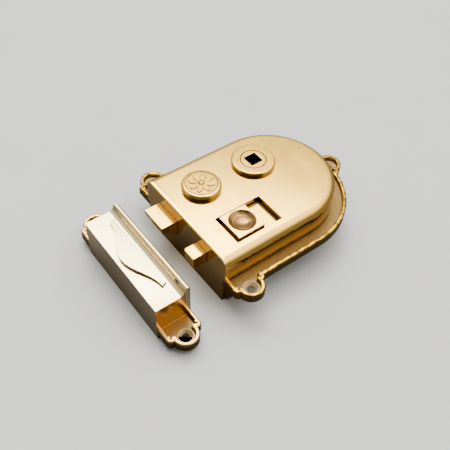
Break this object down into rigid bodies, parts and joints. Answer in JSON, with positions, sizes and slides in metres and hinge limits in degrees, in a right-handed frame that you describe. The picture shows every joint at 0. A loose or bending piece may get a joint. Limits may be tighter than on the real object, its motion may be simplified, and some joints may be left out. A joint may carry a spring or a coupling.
{
  "type": "rim latch and keep",
  "caption": "Half-mortised brass rim latch with D-shaped case, square follower, sprung latch bolt, finger-slide locking bolt and separate box keep.",
  "frame": {"origin": "axis of the square spindle hole, at the plane of the door's face that the flange's back sits on", "axes": "+Z out of the door towards the room, along the spindle; +X from the forend to the round end; +Y along the forend towards the latch bolt's end"},
  "size_m": [0.1602, 0.113, 0.0393],
  "materials": {
    "cast_brass": "polished",
    "pale_brass": "satin",
    "turned_brass": "polished",
    "tray_brass": "dull",
    "steel": "satin",
    "spring_steel": "satin"
  },
  "bodies": {
    "lock_case": {"case_cover": "cast_brass", "forend_plate": "cast_brass", "back_tray": "tray_brass", "case_pillars": "steel", "tray_screws": "steel", "rosette": "turned_brass", "rear_bush": "tray_brass", "follower_spring": "spring_steel", "spring_anchor": "steel", "spring_stop": "steel", "latch_bracket": "steel", "bolt_bracket": "steel", "detent_spring": "spring_steel", "detent_post": "steel", "detent_screw": "steel", "boss_button": "turned_brass", "boss_stud": "turned_brass", "boss_nut": "steel"},
    "follower_body": {"follower": "turned_brass"},
    "latch": {"latch_bolt": "turned_brass", "latch_tail": "steel", "latch_rivets": "steel", "latch_spring": "spring_steel"},
    "snib_slide": {"locking_bolt": "turned_brass", "slide_plate": "turned_brass", "snib": "turned_brass", "snib_rivets": "steel"},
    "keep": {"keep_body": "pale_brass", "keep_front": "pale_brass", "keep_leaf": "pale_brass", "keep_back": "pale_brass", "keep_rivets": "pale_brass", "keep_screws": "steel"}
  },
  "joints": [
    {"name": "latch_slide", "type": "slide", "parent": "lock_case", "child": "latch", "axis": [1, 0, 0], "range_m": [0, 0.0105], "stiffness_N_per_m": 300, "springref_m": -0.008, "deforming": ["latch_spring"]},
    {"name": "follower_turn", "type": "hinge", "parent": "lock_case", "child": "follower_body", "pos_m": [0, 0, 0], "axis": [0, 0, -1], "range_deg": [0, 38]},
    {"name": "snib_travel", "type": "slide", "parent": "lock_case", "child": "snib_slide", "axis": [1, 0, 0], "range_m": [0, 0.0077]},
    {"name": "keep_slide", "type": "slide", "parent": "lock_case", "child": "keep", "axis": [1, 0, 0], "range_m": [0, 0.0098]}
  ],
  "couplings": [
    {"joint": "follower_turn", "follows": "latch_slide", "rad_per_m": 62}
  ]
}
